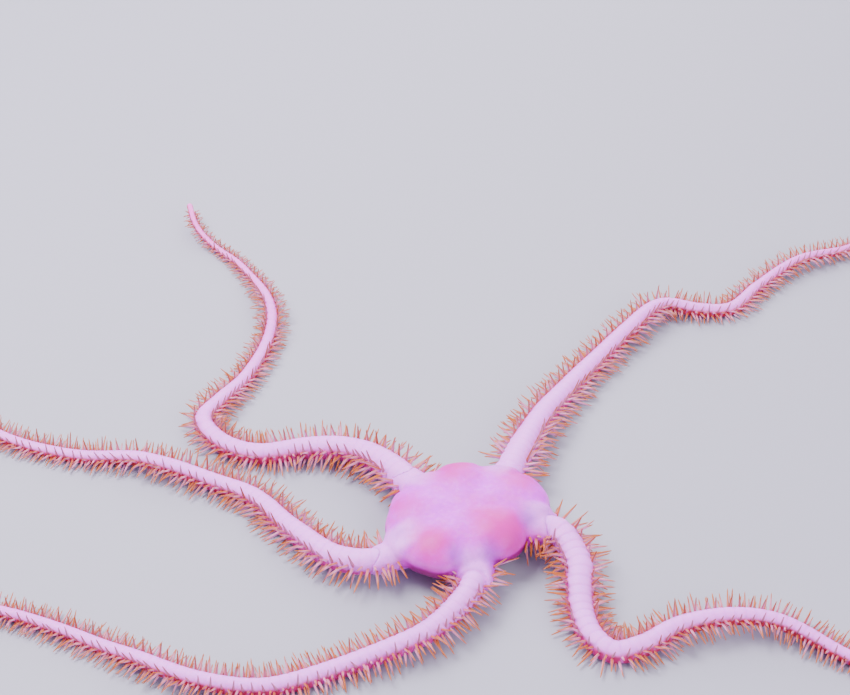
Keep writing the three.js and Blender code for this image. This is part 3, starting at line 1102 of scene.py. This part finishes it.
        def place(points: np.ndarray) -> np.ndarray:
            """Wraps an upright rod round the arm."""
            turn = np.arctan2(points[:, 1], points[:, 0])
            over = np.clip(np.sin(turn), 0.0, 1.0)
            share = points[:, 2]
            end = route.crease + self.sleeve_end - self.sleeve_notch * over**3
            along = route.hood_start + (end - route.hood_start) * share
            frames = route.at(along)
            across, above = section.outline(turn)
            tuck = self.sleeve_tuck * smooth(share, self.sleeve_lip, 1.0)
            grown = route.hooded(along) * (1.0 - tuck)
            middle = section.height_ratio * section.core
            higher = 1.0 + self.sleeve_rise * (grown - 1.0)
            above = middle + (above - middle) * np.where(above > middle, higher, self.sleeve_below)
            return frames.point(across * grown * frames.width, above * frames.width)

        return Clay.rod(self.sleeve_faces, self.sleeve_faces).move(place)

    def _shield(self, bearing: float) -> Clay:
        """A low oval shield under the disc, its long axis pointing away from the middle.

        Args:
            bearing: Its bearing in degrees.

        Returns:
            The closed shield.
        """
        out = heading(bearing)
        beside = np.array([-out[1], out[0], 0.0])
        middle = out * self.oral_radius + UPWARD * (self.belly + self.oral_rise)

        def place(ball: np.ndarray) -> np.ndarray:
            """Stretches and places a ball of radius 1."""
            return middle + (ball * self.oral_size) @ np.array([out, beside, UPWARD])

        return Clay.ball(*self.oral_faces).move(place)

    def build(self) -> bpy.types.Object:
        """Makes the disc as one soft closed skin.

        Returns:
            The object.
        """
        clay = Clay.ball(*self.ball_faces).move(self._body)
        for route in self.routes:
            clay.add(self._sleeve(route))
        for bearing in self.lobes:
            clay.add(self._shield(bearing))
        thing = clay.thing("disc_skin")
        remesh = thing.modifiers.new("one_skin", "REMESH")
        remesh.mode, remesh.voxel_size, remesh.use_smooth_shade = "VOXEL", self.voxel * MM, True
        soften = thing.modifiers.new("soften", "SMOOTH")
        soften.factor, soften.iterations = 0.5, self.soften_rounds
        return settle(thing)

    def pocket(self) -> bpy.types.Object:
        """Makes the solid that hollows out the mouth, with a corner at each arm and each lobe.

        Returns:
            The object.
        """
        corners = np.sort(np.concatenate([self.bearings % 360, self.lobes % 360]))

        def place(points: np.ndarray) -> np.ndarray:
            """Turns the edges of an even rod to the corners."""
            turn = np.rint(bearing_of(points) % 360)
            corner = corners[np.searchsorted(np.unique(turn), turn)]
            bearing = np.radians(corner)
            at_arm = np.isin(corner, self.bearings % 360)
            radius = self.mouth_radius * np.where(at_arm, 1.0, self.mouth_lobe_share)
            deep = self.mouth_depth + self.mouth_opening
            height = self.belly - self.mouth_opening + points[:, 2] * deep
            return np.column_stack([radius * np.cos(bearing), radius * np.sin(bearing), height])

        return Clay.rod(len(corners), 1).move(place).thing("mouth_pocket")


@dataclass(frozen=True)
class Skin:
    """The one skin over the disc and all five arms.

    Points of the arms are known again because they lie in the same place, and the seams beside
    them are softened. The pairs of the disc's markings run from where a marking starts to where
    it is full, by radius, by height or by the share of a lobe; among them is painted shade on
    the lower margin of the lobes. A painted highlight, a pale band along the rim of each lobe,
    is placed by its height and its width.
    """

    disc: Disc
    arms: tuple[ArmSkin, ...]
    seam_rings: int = 2
    seam_rounds: int = 6
    same_place: float = 2e-6
    ray_reach: tuple[float, float] = (7.5, 12.0)
    ray_lobe: tuple[float, float] = (0.42, 0.08)
    # Painted highlight: a pale band along the rim of each lobe, at this height and width.
    rim_highlight_place: tuple[float, float] = (6.4, 0.5)
    rim_highlight_lobe: tuple[float, float] = (0.1, 0.4)
    # Painted shade on the lower margin of the lobes, between the heights of shade_top and shade_foot.
    shade_top: tuple[float, float] = (5.8, 5.2)
    shade_foot: tuple[float, float] = (2.9, 3.8)
    shade_lobe: tuple[float, float] = (0.3, 0.7)
    pale_belly: tuple[float, float] = (4.2, 3.0)

    def build(self) -> bpy.types.Object:
        """Makes the skin and marks it for its shader.

        Returns:
            The object.
        """
        thing = self.disc.build()
        arm_points, arm_marks, parts = [], [], []
        for arm in self.arms:
            clay, marks = arm.build()
            part = clay.thing(arm.route.name + "_skin")
            arm_points.append(places(part.data))
            arm_marks.append(marks)
            parts.append(part)
        pocket = self.disc.pocket()
        for part, operation in [(p, "UNION") for p in parts] + [(pocket, "DIFFERENCE")]:
            cut = thing.modifiers.new(part.name, "BOOLEAN")
            cut.operation, cut.object, cut.solver = operation, part, "MANIFOLD"
        settle(thing)
        for part in parts + [pocket]:
            bpy.data.objects.remove(part)
        self._mark(thing, np.vstack(arm_points), arm_marks)
        self._soften(thing.data)
        thing.data.shade_smooth()
        thing.name = "skin"
        return thing

    def _soften(self, mesh: bpy.types.Mesh) -> None:
        """Softens the seams where the arms come out of the disc.

        Args:
            mesh: The whole skin.
        """
        bm = bmesh.new()
        bm.from_mesh(mesh)
        arm = bm.verts.layers.float["arm"]
        seam = {v for edge in bm.edges if edge.verts[0][arm] != edge.verts[1][arm] for v in edge.verts}
        for _ in range(self.seam_rings):
            seam |= {edge.other_vert(v) for v in seam for edge in v.link_edges}
        ordered = sorted(seam, key=lambda v: v.index)
        axes = {"use_axis_x": True, "use_axis_y": True, "use_axis_z": True}
        for _ in range(self.seam_rounds):
            bmesh.ops.smooth_vert(bm, verts=ordered, factor=0.5, **axes)
        bm.to_mesh(mesh)
        bm.free()

    def _mark(self, thing: bpy.types.Object, known: np.ndarray, marks: list[dict[str, np.ndarray]]) -> None:
        """Marks the points of the arms and of the disc.

        Args:
            thing: The whole skin.
            known: The points of the separate arms.
            marks: The numbers of each arm's points.
        """
        tree = KDTree(len(known))
        for i, spot in enumerate(known):
            tree.insert(spot, i)
        tree.balance()
        found = places(thing.data)
        index, gap = np.zeros(len(found), int), np.zeros(len(found))
        for i, spot in enumerate(found):
            _, index[i], gap[i] = tree.find(spot)
        on_arm = gap < self.same_place
        merged = {key: np.concatenate([m[key] for m in marks]) for key in marks[0]}
        for key, values in merged.items():
            mark(thing.data, key, np.where(on_arm, values[index], 0.0))
        for key, values in self._disc_marks(found / MM - disc_middle()).items():
            mark(thing.data, key, np.where(on_arm, 0.0, values))

    def _disc_marks(self, points: np.ndarray) -> dict[str, np.ndarray]:
        """Works out the disc's markings.

        Args:
            points: Points of the disc.

        Returns:
            Shares for the pink of the lobes, the dusk, the pale rays beside the arms together with
            a painted highlight along the lobes' rim, and the painted shade on the lower margin.
        """
        radius, height = np.hypot(points[:, 0], points[:, 1]), points[:, 2]
        lobe = self.disc.lobe_share(bearing_of(points))
        spots = self.disc.spots
        blush = sum(max(spot.blush, 0.0) * spot.share(points) for spot in spots)
        dusk = sum(max(-spot.blush, 0.0) * spot.share(points) for spot in spots)
        ray = smooth(radius, *self.ray_reach) * smooth(lobe, *self.ray_lobe)
        # The ray mark also carries a painted highlight: a pale band along the rim of each lobe.
        ray = np.maximum(ray, bell(height, *self.rim_highlight_place) * smooth(lobe, *self.rim_highlight_lobe) * 0.5)
        ray = np.maximum(ray, smooth(height, *self.pale_belly) * 0.7)
        # Painted shade: darkens a band on the disc's side between these heights, in the lobes.
        under = smooth(height, *self.shade_top) * smooth(height, *self.shade_foot)
        under = under * smooth(lobe, *self.shade_lobe)
        return {"blush": blush, "dusk": dusk, "ray": ray, "under": under}


@dataclass(frozen=True)
class Jaws:
    """The five jaws round the mouth, with their teeth.

    A jaw is a wedge with its narrow end towards the middle and as deep as the mouth, apart
    from a gap above it and a drop below the belly. Its teeth are one at the tip and a row up
    each side, and each tooth is set by how far its root lies from the middle and to the side.
    """

    disc: Disc
    tip: float = 1.2
    back: float = 4.75
    half_tip: float = 0.42
    half_angle: float = 26.0
    drop: float = 0.4
    gap: float = 0.3
    rounding: float = 0.28
    tooth_faces: tuple[int, int] = (8, 6)
    tooth_radius: float = 0.26
    tooth_blunt: float = 2.2
    tooth_least: float = 0.02
    tooth_length: float = 0.62
    tooth_drop: float = 0.12
    tooth_lift: float = 0.15
    tip_inset: float = 0.5
    tip_length: float = 1.15
    row_teeth: int = 3
    row_inset: float = 0.8
    row_step: float = 0.95
    row_side: float = 0.32
    row_spread: float = 0.47
    row_turn: float = 0.9
    row_turn_step: float = 0.15

    def _wedge(self) -> Clay:
        """One jaw, pointing along -X at the middle of the mouth.

        Returns:
            The closed jaw.
        """
        clay = Clay()
        bmesh.ops.create_cube(clay.bm, size=1.0)
        half = math.tan(math.radians(self.half_angle)) * self.back
        depth = self.disc.mouth_depth + self.drop - self.gap

        def place(cube: np.ndarray) -> np.ndarray:
            """Tapers and places a cube."""
            share = cube[:, 0] + 0.5
            x = self.tip + (self.back - self.tip) * share
            y = cube[:, 1] * 2.0 * (self.half_tip + (half - self.half_tip) * share)
            return np.column_stack([x, y, self.disc.belly - self.drop + depth * (cube[:, 2] + 0.5)])

        clay.move(place)
        bmesh.ops.bevel(
            clay.bm, geom=clay.bm.edges[:], offset=self.rounding, segments=3, profile=0.5,
            affect="EDGES", material=-1,
        )
        return clay

    def _tooth(self, x: float, y: float, length: float, turn: float) -> Clay:
        """One blunt tooth.

        Args:
            x: Where its root is, out from the middle.
            y: Where its root is, to the side.
            length: Its length.
            turn: How far it turns from pointing at the middle, in radians.

        Returns:
            The closed tooth.
        """

        def place(points: np.ndarray) -> np.ndarray:
            """Rounds off an upright rod and lays it down."""
            share = points[:, 2]
            closing = np.clip(1.0 - share**self.tooth_blunt, self.tooth_least, 1.0)
            radius = self.tooth_radius * np.sqrt(closing)
            out = np.array([-math.cos(turn), math.sin(turn), -self.tooth_drop])
            beside = np.array([math.sin(turn), math.cos(turn), 0.0])
            root = np.array([x, y, self.disc.belly + self.tooth_lift])
            spot = root + np.outer(share * length, out) + np.outer(points[:, 0] * radius, beside)
            return spot + np.outer(points[:, 1] * radius, UPWARD)

        return Clay.rod(*self.tooth_faces).move(place)

    def build(self) -> bpy.types.Object:
        """Makes all the jaws.

        Returns:
            The object.
        """
        whole = Clay()
        for bearing in self.disc.lobes:
            jaw = self._wedge()
            jaw.add(self._tooth(self.tip + self.tip_inset, 0.0, self.tip_length, 0.0))
            for side in Side:
                for step in range(self.row_teeth):
                    x = self.tip + self.row_inset + self.row_step * step
                    y = side.value * (self.row_side + self.row_spread * (x - self.tip))
                    turn = -side.value * (self.row_turn + self.row_turn_step * step)
                    jaw.add(self._tooth(x, y, self.tooth_length, turn))
            out = heading(bearing)
            spin = np.array([out[:2], [-out[1], out[0]]])
            whole.add(jaw.move(lambda points: np.column_stack([points[:, :2] @ spin, points[:, 2]])))
        thing = whole.thing("mouth_jaws")
        thing.data.shade_smooth()
        return thing


class Socket:
    """A shader output that takes part in sums."""

    def __init__(self, graph: "Graph", output: bpy.types.NodeSocket) -> None:
        """Holds on to an output and its tree."""
        self.graph = graph
        self.output = output

    def _sum(self, operation: str, first: object, second: object) -> "Socket":
        """Adds the node that works out a sum of two numbers."""
        return self.graph.node("ShaderNodeMath", {0: first, 1: second}, operation=operation)

    def __add__(self, other: object) -> "Socket":
        """This and the other together."""
        return self._sum("ADD", self, other)

    def __radd__(self, other: object) -> "Socket":
        """The other and this together."""
        return self._sum("ADD", other, self)

    def __sub__(self, other: object) -> "Socket":
        """This less the other."""
        return self._sum("SUBTRACT", self, other)

    def __rsub__(self, other: object) -> "Socket":
        """The other less this."""
        return self._sum("SUBTRACT", other, self)

    def __mul__(self, other: object) -> "Socket":
        """This times the other."""
        return self._sum("MULTIPLY", self, other)

    def __rmul__(self, other: object) -> "Socket":
        """The other times this."""
        return self._sum("MULTIPLY", other, self)

    def fraction(self) -> "Socket":
        """The part of the number after the point."""
        return self.graph.node("ShaderNodeMath", {0: self}, operation="FRACT")

    def ramp(self, low: float, high: float) -> "Socket":
        """Rises softly from 0 at low to 1 at high.

        Args:
            low: Where the rise starts.
            high: Where it ends.

        Returns:
            The share.
        """
        return self.graph.node(
            "ShaderNodeMapRange", {0: self, 1: low, 2: high, 3: 0.0, 4: 1.0},
            interpolation_type="SMOOTHSTEP",
        )


class Graph:
    """The node tree of one material."""

    def __init__(self, name: str) -> None:
        """Starts a material with the usual shader."""
        self.material = bpy.data.materials.new(name)
        self.material.use_nodes = True
        self.tree = self.material.node_tree
        self.shader = self.tree.nodes["Principled BSDF"]

    def node(self, kind: str, inputs: dict[int | str, object] | None = None, output: int | str = 0,
             **settings: object) -> Socket:
        """Makes a node.

        Args:
            kind: The node's type.
            inputs: What goes into its sockets, by number or name.
            output: Which output is wanted.
            **settings: The node's own settings.

        Returns:
            The output.
        """
        made = self.tree.nodes.new(kind)
        for key, value in settings.items():
            setattr(made, key, value)
        self._feed(made, inputs or {})
        return Socket(self, made.outputs[output])

    def _feed(self, made: bpy.types.Node, inputs: dict[int | str, object]) -> None:
        """Links or sets the inputs of a node.

        Args:
            made: The node.
            inputs: An output or a constant for each, by number or name.
        """
        for key, value in inputs.items():
            if isinstance(value, Socket):
                self.tree.links.new(value.output, made.inputs[key])
            else:
                made.inputs[key].default_value = value

    def finish(self, inputs: dict[int | str, object]) -> bpy.types.Material:
        """Feeds the material's own shader.

        Args:
            inputs: What goes into its sockets, by name.

        Returns:
            The material.
        """
        self._feed(self.shader, inputs)
        return self.material

    def attribute(self, name: str) -> Socket:
        """Reads a number that the mesh carries.

        Args:
            name: The attribute's name.

        Returns:
            The number.
        """
        return self.node("ShaderNodeAttribute", output="Fac", attribute_name=name)

    def noise(self, scale: float, detail: float = 3.0) -> Socket:
        """Cloudy variation fixed to the object.

        Args:
            scale: Clouds to the metre.
            detail: How many finer layers it has.

        Returns:
            A number about one half.
        """
        spot = self.node("ShaderNodeTexCoord", output="Object")
        return self.node("ShaderNodeTexNoise", {"Vector": spot, "Scale": scale, "Detail": detail})

    def mix(self, share: object, first: object, second: object) -> Socket:
        """Mixes two colours.

        Args:
            share: How much of the second.
            first: The first colour.
            second: The second colour.

        Returns:
            The mixed colour.
        """
        return self.node("ShaderNodeMix", {0: share, 6: first, 7: second}, output=2, data_type="RGBA")


@dataclass(frozen=True)
class SoftSkin:
    """The finish of the skin: lavender back, pink lobes and sides.

    The arms go from lavender above to pink at the sides, redder towards the tips, with a dark
    dot on each side plate and lighter joints. The disc is a deeper lavender, with pink lobes,
    dusky smudges between them, pale rays towards the arms, a painted highlight along the rim
    of the lobes and painted shade on their lower margin. Clouds of three sizes make it uneven
    and a fine grain makes it matt.
    """

    back: Colour = colour(236, 134, 255)
    back_far: Colour = colour(236, 104, 206)
    joint: Colour = colour(214, 92, 226)
    flank: Colour = colour(200, 34, 152)
    flank_far: Colour = colour(196, 30, 62)
    dot: Colour = colour(156, 6, 26)
    belly: Colour = colour(204, 110, 214)
    disc: Colour = colour(228, 30, 255)
    blush: Colour = colour(206, 0, 164)
    dusk: Colour = colour(150, 62, 214)
    # Painted shade on the lower margin of the lobes.
    under: Colour = colour(120, 6, 86)
    slow_scale: float = 150.0
    cloud_scale: float = 420.0
    fine_scale: float = 1100.0
    grain_scale: float = 2600.0

    def _arm(self, graph: Graph, cloud: Socket) -> Socket:
        """Colours the arms.

        Args:
            graph: The node tree.
            cloud: Middling clouds.

        Returns:
            The colour.
        """
        height, far = graph.attribute("height"), graph.attribute("far")
        part = graph.attribute("segment").fraction()
        edge = 1.0 - part.ramp(0.0, 0.2) * (1.0 - part.ramp(0.8, 1.0))
        spot = part.ramp(0.16, 0.42) * (1.0 - part.ramp(0.58, 0.84))
        top = graph.mix(far * far, self.back, self.back_far)
        top = graph.mix(edge * 0.2, top, self.joint)
        flank = graph.mix(far.ramp(0.06, 0.4), self.flank, self.flank_far)
        flank = graph.mix(edge * 0.45, flank, self.back)
        flank = graph.mix(spot * far.ramp(0.0, 0.35) * 0.6, flank, self.dot)
        fresh = far.ramp(0.11, 0.02) * 0.42
        above = (height + fresh + (cloud - 0.5) * 0.1).ramp(0.58, 0.86)
        belly = graph.mix(edge * 0.35, self.belly, self.flank)
        return graph.mix(height.ramp(0.22, 0.02), graph.mix(above, flank, top), belly)

    def _disc(self, graph: Graph, cloud: Socket) -> Socket:
        """Colours the disc.

        Args:
            graph: The node tree.
            cloud: Middling clouds.

        Returns:
            The colour.
        """
        slow, fine = graph.noise(self.slow_scale), graph.noise(self.fine_scale)
        spread = (slow - 0.5) * 0.5 + (cloud - 0.5) * 0.5
        # The ray attribute holds the pale rays and a painted highlight along the rim of the lobes.
        pale = graph.attribute("ray") * 0.9 + (cloud - 0.5).ramp(0.0, 0.3) * 0.25
        tone = graph.mix(pale, self.disc, self.back)
        tone = graph.mix(fine.ramp(0.5, 0.66) * 0.2, tone, self.back)
        tone = graph.mix(fine.ramp(0.48, 0.34) * 0.12, tone, self.dusk)
        tone = graph.mix((graph.attribute("blush") + spread).ramp(0.0, 1.0), tone, self.blush)
        smudge = (graph.attribute("dusk") + spread * 0.5).ramp(0.1, 1.1)
        tone = graph.mix(smudge * 0.6, tone, self.dusk)
        # Painted shade: the lower margin of the lobes darkens towards the under colour.
        return graph.mix(graph.attribute("under") * 0.85, tone, self.under)

    def build(self) -> bpy.types.Material:
        """Makes the material.

        Returns:
            The material.
        """
        graph = Graph("soft_skin")
        cloud = graph.noise(self.cloud_scale)
        grain = graph.noise(self.grain_scale, 2.0)
        bump = {"Strength": 0.25, "Distance": 0.0002, "Height": grain}
        disc, arm = self._disc(graph, cloud), self._arm(graph, cloud)
        return graph.finish({
            "Base Color": graph.mix(graph.attribute("arm"), disc, arm),
            "Roughness": 0.42 + cloud * 0.16,
            "Normal": graph.node("ShaderNodeBump", bump, output="Normal"),
            "Subsurface Weight": 0.25,
            "Subsurface Radius": (1.0, 0.45, 0.5),
            "Subsurface Scale": 0.0012,
            "Specular IOR Level": 0.3,
        })


@dataclass(frozen=True)
class SpineHorn:
    """The finish of the spines: pale shafts, tan along the upper edge and at the tip.

    The top row is browner, every shaft is rosy at its foot, and each spine is a little lighter
    or darker than the next.
    """

    pale: Colour = colour(234, 158, 222)
    tan: Colour = colour(180, 88, 0)
    brown: Colour = colour(140, 60, 40)
    rose: Colour = colour(206, 50, 120)

    def build(self) -> bpy.types.Material:
        """Makes the material.

        Returns:
            The material.
        """
        graph = Graph("spine_horn")
        share, ridge = graph.attribute("share"), graph.attribute("ridge")
        row, tint = graph.attribute("row"), graph.attribute("tint")
        tanned = ridge * 0.6 + 0.26 + share.ramp(0.5, 1.0) * 0.45
        tanned = (tanned + (tint - 0.5) * 0.5).ramp(0.1, 0.95)
        shaft = graph.mix(tanned, self.pale, self.tan)
        shaft = graph.mix(row.ramp(0.2, 0.0) * 0.45, shaft, self.brown)
        return graph.finish({
            "Base Color": graph.mix(share.ramp(0.35, 0.0) * 0.45, shaft, self.rose),
            "Roughness": 0.45,
            "Subsurface Weight": 0.15,
            "Subsurface Radius": (1.0, 0.6, 0.5),
            "Subsurface Scale": 0.0004,
        })


@dataclass(frozen=True)
class Plain:
    """A finish of one colour."""

    name: str
    tone: Colour
    roughness: float

    def build(self) -> bpy.types.Material:
        """Makes the material."""
        return Graph(self.name).finish({"Base Color": self.tone, "Roughness": self.roughness})


@dataclass(frozen=True)
class Studio:
    """The floor, the lights and the camera, placed by millimetres from the middle of the disc.

    Each lamp has a name, a place, a size and a power.
    """

    elevation: float = 38.0
    distance: float = 360.0
    target: tuple[float, float, float] = (-7.3, 55.7, 0.0)
    lens: float = 76.24
    sensor: float = 36.0
    floor_size: float = 3000.0
    floor_tone: Colour = colour(160, 156, 176)
    lamps: tuple[tuple[str, tuple[float, float, float], float, float], ...] = (
        ("key", (-260.0, 120.0, 460.0), 300.0, 7.6),
        ("fill", (340.0, -260.0, 320.0), 420.0, 3.2),
        ("back", (60.0, 460.0, 260.0), 300.0, 2.3),
    )
    lit_place: tuple[float, float, float] = (0.0, 20.0, 0.0)
    air_tone: Colour = (0.9, 0.9, 1.0, 1.0)
    air_strength: float = 0.62

    @staticmethod
    def _aim(thing: bpy.types.Object, place: Vector, aim: Vector) -> None:
        """Puts a lamp or a camera in its place and turns it.

        Args:
            thing: The lamp or the camera.
            place: Where it stands, in the scene.
            aim: The direction that it looks in.
        """
        thing.location = place
        thing.rotation_euler = aim.to_track_quat("-Z", "Y").to_euler()

    def _floor(self) -> None:
        """Lays the floor."""
        clay = Clay()
        bmesh.ops.create_grid(clay.bm, x_segments=1, y_segments=1, size=self.floor_size)
        floor = clay.thing("floor")
        floor.data.materials.append(Plain("floor_paint", self.floor_tone, 0.7).build())

    def _lights(self) -> None:
        """Hangs the lamps and fills the air with a little light."""
        lit = Vector(to_row(np.array(self.lit_place)))
        for name, place, size, power in self.lamps:
            light = bpy.data.lights.new(name, "AREA")
            light.size, light.energy = size * MM, power
            spot = Vector(to_row(np.array(place)))
            self._aim(show(name, light), spot, lit - spot)
        world = bpy.data.worlds.new("air")
        world.use_nodes = True
        air = world.node_tree.nodes["Background"].inputs
        air["Color"].default_value, air["Strength"].default_value = self.air_tone, self.air_strength
        bpy.context.scene.world = world

    def _camera(self) -> None:
        """Sets up the camera."""
        data = bpy.data.cameras.new("camera")
        data.lens, data.sensor_width = self.lens, self.sensor
        data.clip_start, data.clip_end = 0.01, 20.0
        rise = math.radians(self.elevation)
        back = Vector((0.0, -math.cos(rise), math.sin(rise)))
        place = Vector(to_row(np.array(self.target))) + back * self.distance * MM
        camera = show("camera", data)
        self._aim(camera, place, -back)
        bpy.context.scene.camera = camera

    def build(self) -> None:
        """Sets up the studio."""
        self._floor()
        self._lights()
        self._camera()


def main() -> None:
    """Builds the animal and the studio round it."""
    arms = tuple(ArmSkin(route) for route in ROUTES)
    disc = Disc(ROUTES)
    skin = Skin(disc, arms).build()
    skin.data.materials.clear()
    skin.data.materials.append(SoftSkin().build())
    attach(skin, "root")
    numbers = range(1, 6)
    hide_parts("disc", *(f"{route.name}_{i}" for route in ROUTES for i in numbers))
    log.info("skin: %d points, %d faces", len(skin.data.vertices), len(skin.data.polygons))
    horn = SpineHorn().build()
    random = np.random.default_rng(SEED)
    for number, arm in enumerate(arms):
        spines = SpineCoat(arm).build(random, disc.clear, number)
        spines.data.materials.append(horn)
        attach(spines, "root")
        log.info("%s: %d faces", spines.name, len(spines.data.polygons))
    jaws = Jaws(disc).build()
    jaws.data.materials.append(Plain("jaw_plate", colour(238, 222, 232), 0.5).build())
    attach(jaws, "root")
    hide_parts(*(f"jaw_{i}" for i in numbers))
    log.info("%s: %d faces", jaws.name, len(jaws.data.polygons))
    Studio().build()
    bpy.context.view_layer.update()


if __name__ == "__main__":
    main()
